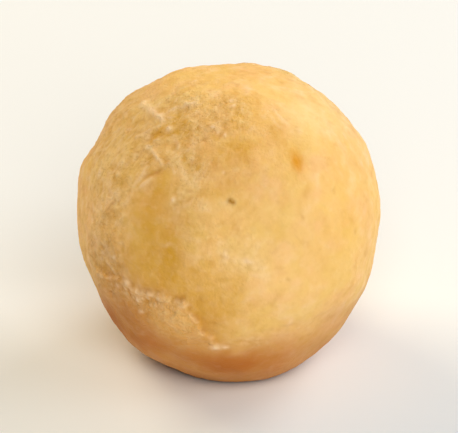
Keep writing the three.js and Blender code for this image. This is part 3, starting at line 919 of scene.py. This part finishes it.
# %% [markdown]
# ## The mesh
#
# The arrays go into a mesh as they are, in metres, and each weight becomes an attribute of the
# points. The mesh replaces the plain solid of the frame.

# %% Make the ball


def add_object(name, data):
    """Puts a mesh, a light or a camera in the scene."""
    made = bpy.data.objects.new(name, data)
    bpy.context.scene.collection.objects.link(made)
    return made


def mesh_object(name, points, quads, weights):
    """A mesh from arrays of points (mm) and four-sided faces, shaded smooth, with its weights."""
    mesh = bpy.data.meshes.new(name)
    mesh.from_pydata((points * MM).tolist(), [], quads.tolist())
    for label, values in weights.items():
        values = np.clip(values, -1, 1).astype(np.float32)
        mesh.attributes.new(label, "FLOAT", "POINT").data.foreach_set("value", values)
    mesh.polygons.foreach_set("use_smooth", np.ones(len(quads), dtype=bool))
    mesh.update()
    return add_object(name, mesh)


ball = mesh_object("cheese_bread_crust", crust, faces, attributes)
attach(ball, "root")
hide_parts("cheese_ball")
print(ball.name, "has", len(ball.data.polygons), "faces")

# %% [markdown]
# ## The crust's material
#
# Baked tapioca crust is matte and slightly see-through: light goes in a fraction of a millimetre and
# comes out warmer, which softens every edge. Its index of refraction is that of starch, about 1.45.

# %% Colours and a helper for nodes


def linear(hex_colour):
    """An sRGB hex colour as the linear red, green, blue and alpha that Blender works with."""
    values = np.array([int(hex_colour[i:i + 2], 16) for i in (1, 3, 5)]) / 255
    light = np.where(values <= 0.04045, values / 12.92, ((values + 0.055) / 1.055) ** 2.4)
    return (*light, 1)


def add_node(tree, kind, sockets=None, **settings):
    """Adds a node with its settings. A socket's value is a number, a colour or another socket."""
    made = tree.nodes.new(kind)
    for name, value in settings.items():
        setattr(made, name, value)
    for name, value in (sockets or {}).items():
        if isinstance(value, bpy.types.NodeSocket):
            tree.links.new(value, made.inputs[name])
        else:
            made.inputs[name].default_value = value
    return made


GOLD = "#F3C376"
UNDER_SKIN = "#C88A30"
DUSTED_SKIN = "#FFDC9C"

# %% [markdown]
# ## The crust's material, layer by layer
#
# The fine patterns are noise read at the ball's own coordinates, so they stay where they are when
# it turns. Each has a size in millimetres, and a weight says where it shows. Everything is then
# laid over the gold like thin paint, in the order of the list: a weight or pattern, how much of the
# colour it gives where it is full, and the colour.

# %% Fine patterns and layers of colour
STROKE_STRETCH = 2.6  # times as long as wide, along the way the skin was pulled
# name: size in mm, detail, distortion, noise where it starts, where it is full, along the pull, weight
PATTERNS = {
    "grain": (0.45, 3, 0, 0.3, 0.7, False, "rough"),
    "pale_speck": (1.1, 4, 0, 0.48, 0.72, False, "rough"),
    "dark_speck": (1.3, 4, 0, 0.5, 0.3, False, "rough"),
    "pale_stroke": (0.55, 2, 0.6, 0.52, 0.64, True, "fibrous"),
    "dark_stroke": (0.7, 2, 0.6, 0.47, 0.35, True, "fibrous"),
}
LAYERS = [
    ("golden_cloud", 0.7, "#E2AA54"),
    ("creamy_cloud", 0.7, "#FAD29A"),
    ("yellower", 0.45, "#F0C66A"),
    ("rosier", 0.4, "#F5BE86"),
    ("dry", 0.08, "#F7CC8A"),
    # paler skin, with a painted highlight high on the right
    ("paler_and_highlit", 0.75, "#FBDC98"),
    ("sheet", 0.8, "#F2B561"),
    ("moist_and_shade", 0.85, "#DA9F0A"),  # olive gold, and painted shade in hollows and on the tears' sunken sides
    # deeper gold and painted shade in the folds' valleys
    ("fold_valley_gold_and_shade", 0.45, UNDER_SKIN),
    ("fold_top", 0.55, DUSTED_SKIN),
    ("dark_speck", 0.4, "#CA9036"),
    ("pale_speck", 0.5, DUSTED_SKIN),
    ("dark_stroke", 0.1, UNDER_SKIN),
    ("pale_stroke", 0.5, DUSTED_SKIN),
    ("crumb_dot", 0.4, DUSTED_SKIN),
    # browned crust, and painted shade low down, on the lower left and at the front of the foot
    ("toasted_and_shaded", 1, "#BE6E20"),
    ("base", 0.8, "#A5682C"),
    # thin or missing skin, and a few spots of painted shade beside the ridges
    ("spot", 0.7, UNDER_SKIN),
    # pale starch, and painted highlight on lips, grain tops and plate rims
    ("pale_line_and_highlight", 0.9, "#FFDEB2"),
    # darker cracks, and painted shade in pores, between grains and under tear edges
    ("dark_line_and_shade", 0.5, "#B87430"),
    ("cheese", 1, "#E2980C"),
    # painted shade inside the holes
    ("hole", 1, "#A67000"),
]
# what stands up, and its share of BUMP_HEIGHT
HEIGHTS = [
    ("grain", 0.5), ("pale_speck", 0.3), ("dark_speck", -0.2), ("pale_stroke", 0.3), ("crumb_dot", 0.3),
]
BUMP_HEIGHT = 0.34  # mm
DOT_SPACING = 1.5  # mm from one fine crumb to the next
DOT_RIM, DOT_FULL = 0.3, 0  # of the spacing: where a crumb ends and where it is whole
CRUST_ROUGHNESS, CHEESE_ROUGHNESS = 0.65, 0.4  # melted cheese is glossier than the crust round it

# %% Baked tapioca crust


def baked_tapioca_crust():
    """Matte, warm and slightly see-through: gold with the patterns and layers of the lists on it."""
    material = bpy.data.materials.new("baked tapioca crust")
    material.use_nodes = True
    tree = material.node_tree
    tree.nodes.clear()
    place = add_node(tree, "ShaderNodeTexCoord").outputs["Object"]
    pull_turn = Vector(PULL).to_track_quat("Z", "Y").to_euler()
    pulled_place = add_node(tree, "ShaderNodeMapping", {
        "Vector": place, "Rotation": pull_turn, "Scale": (1, 1, STROKE_STRETCH),
    }, vector_type="TEXTURE").outputs[0]
    shares = {label: add_node(tree, "ShaderNodeAttribute", attribute_name=label).outputs["Fac"]
              for label in attributes}
    to_crumb = add_node(tree, "ShaderNodeTexVoronoi", {
        "Vector": place, "Scale": 1 / (DOT_SPACING * MM),
    }).outputs["Distance"]
    patterns = {"crumb_dot": (to_crumb, DOT_RIM, DOT_FULL, "speckled")}
    for label, (size, detail, distortion, start, full, along_pull, weight) in PATTERNS.items():
        noise = add_node(tree, "ShaderNodeTexNoise", {
            "Vector": pulled_place if along_pull else place,
            "Scale": 1 / (size * MM), "Detail": detail, "Distortion": distortion,
        }).outputs["Fac"]
        patterns[label] = noise, start, full, weight
    for label, (pattern, start, full, weight) in patterns.items():
        shown = add_node(tree, "ShaderNodeMapRange", {"Value": pattern, "From Min": start, "From Max": full})
        shares[label] = add_node(tree, "ShaderNodeMath", {
            0: shown.outputs["Result"], 1: shares[weight],
        }, operation="MULTIPLY").outputs[0]

    colour = linear(GOLD)
    for label, most, tint in LAYERS:
        share = add_node(tree, "ShaderNodeMath", {0: shares[label], 1: most}, operation="MULTIPLY")
        colour = add_node(tree, "ShaderNodeMix", {
            0: share.outputs[0], 6: colour, 7: linear(tint),
        }, data_type="RGBA").outputs[2]
    height = 0.0
    for label, share in HEIGHTS:
        height = add_node(tree, "ShaderNodeMath", {
            0: shares[label], 1: share, 2: height,
        }, operation="MULTIPLY_ADD").outputs[0]
    bump = add_node(tree, "ShaderNodeBump", {"Height": height, "Distance": BUMP_HEIGHT * MM})
    roughness = add_node(tree, "ShaderNodeMapRange", {
        "Value": shares["cheese"], "To Min": CRUST_ROUGHNESS, "To Max": CHEESE_ROUGHNESS,
    })
    shader = add_node(tree, "ShaderNodeBsdfPrincipled", {
        "Base Color": colour,
        "Roughness": roughness.outputs["Result"],
        "IOR": 1.45,
        "Specular IOR Level": 0.3,
        "Normal": bump.outputs["Normal"],
        "Subsurface Weight": 0.1,
        "Subsurface Radius": (1, 0.6, 0.25),
        "Subsurface Scale": 0.5 * MM,
    })
    add_node(tree, "ShaderNodeOutputMaterial", {"Surface": shader.outputs["BSDF"]})
    return material


ball.data.materials.append(baked_tapioca_crust())
print("crust material has", len(ball.data.materials[0].node_tree.nodes), "nodes")

# %% [markdown]
# ## Floor, light and camera
#
# A white table and four soft lights show the crust as a pale room with windows would: a window on
# the right, a stronger one behind it, a warm lamp behind on the left and a lamp in front.

# %% White table
FLOOR_SIZE = 6000  # mm


def white_table():
    """A plain pale square under the ball."""
    corners = FLOOR_SIZE / 2 * np.array([(-1, -1, 0), (1, -1, 0), (1, 1, 0), (-1, 1, 0)])
    made = mesh_object("table", corners, np.array([(0, 1, 2, 3)]), {})
    material = bpy.data.materials.new("matte white table top")
    material.use_nodes = True
    shader = material.node_tree.nodes["Principled BSDF"]
    shader.inputs["Base Color"].default_value = linear("#EDF1F6")
    shader.inputs["Roughness"].default_value = 0.8
    made.data.materials.append(material)
    return made


white_table()

# %% Lights
BALL_MIDDLE = Vector((0, 0, MIDDLE_HEIGHT * MM))
LIGHT_AWAY, LIGHT_SIZE = 0.9, 0.5  # metres
ROOM_LIGHT = 0.05
# name, bearing, degrees above the level, watts, colour
LIGHTS = [
    ("right window", 75, 30, 2.2, "#FFFFFF"),
    ("window behind on the right", 130, 30, 4.4, "#FFFFFF"),
    ("lamp behind on the left", 228, 38, 5.2, "#FFECC6"),
    ("lamp in front", 10, 40, 4.8, "#FFF9EC"),
]

for name, bearing, height, power, colour in LIGHTS:
    towards = Vector(eye_at(bearing, height)[2])
    lamp = bpy.data.lights.new(name, "AREA")
    lamp.size = LIGHT_SIZE
    lamp.energy = power
    lamp.color = linear(colour)[:3]
    placed = add_object(name, lamp)
    placed.location = BALL_MIDDLE + LIGHT_AWAY * towards
    placed.rotation_euler = towards.to_track_quat("Z", "Y").to_euler()

world = bpy.data.worlds.new("room")
world.use_nodes = True
background = world.node_tree.nodes["Background"]
background.inputs["Color"].default_value = linear("#FFFFFF")
background.inputs["Strength"].default_value = ROOM_LIGHT
bpy.context.scene.world = world
bpy.context.scene.view_settings.view_transform = "Standard"

# %% Camera
CAMERA_AWAY = 1.3  # metres
VIEW_WIDTH = 75  # mm of the ball's surroundings that the picture takes in
SENSOR_WIDTH = 36

camera_data = bpy.data.cameras.new("camera")
camera_data.sensor_width = SENSOR_WIDTH
camera_data.lens = SENSOR_WIDTH * CAMERA_AWAY / (VIEW_WIDTH * MM)
camera_data.clip_end = 50
camera = add_object("camera", camera_data)
towards_eye = Vector(eye_at(0)[2])
camera.location = BALL_MIDDLE + CAMERA_AWAY * towards_eye
camera.rotation_euler = (-towards_eye).to_track_quat("-Z", "Y").to_euler()
bpy.context.scene.camera = camera
print("lens", round(camera_data.lens), "mm, looking down by", LOOK_DOWN, "degrees")
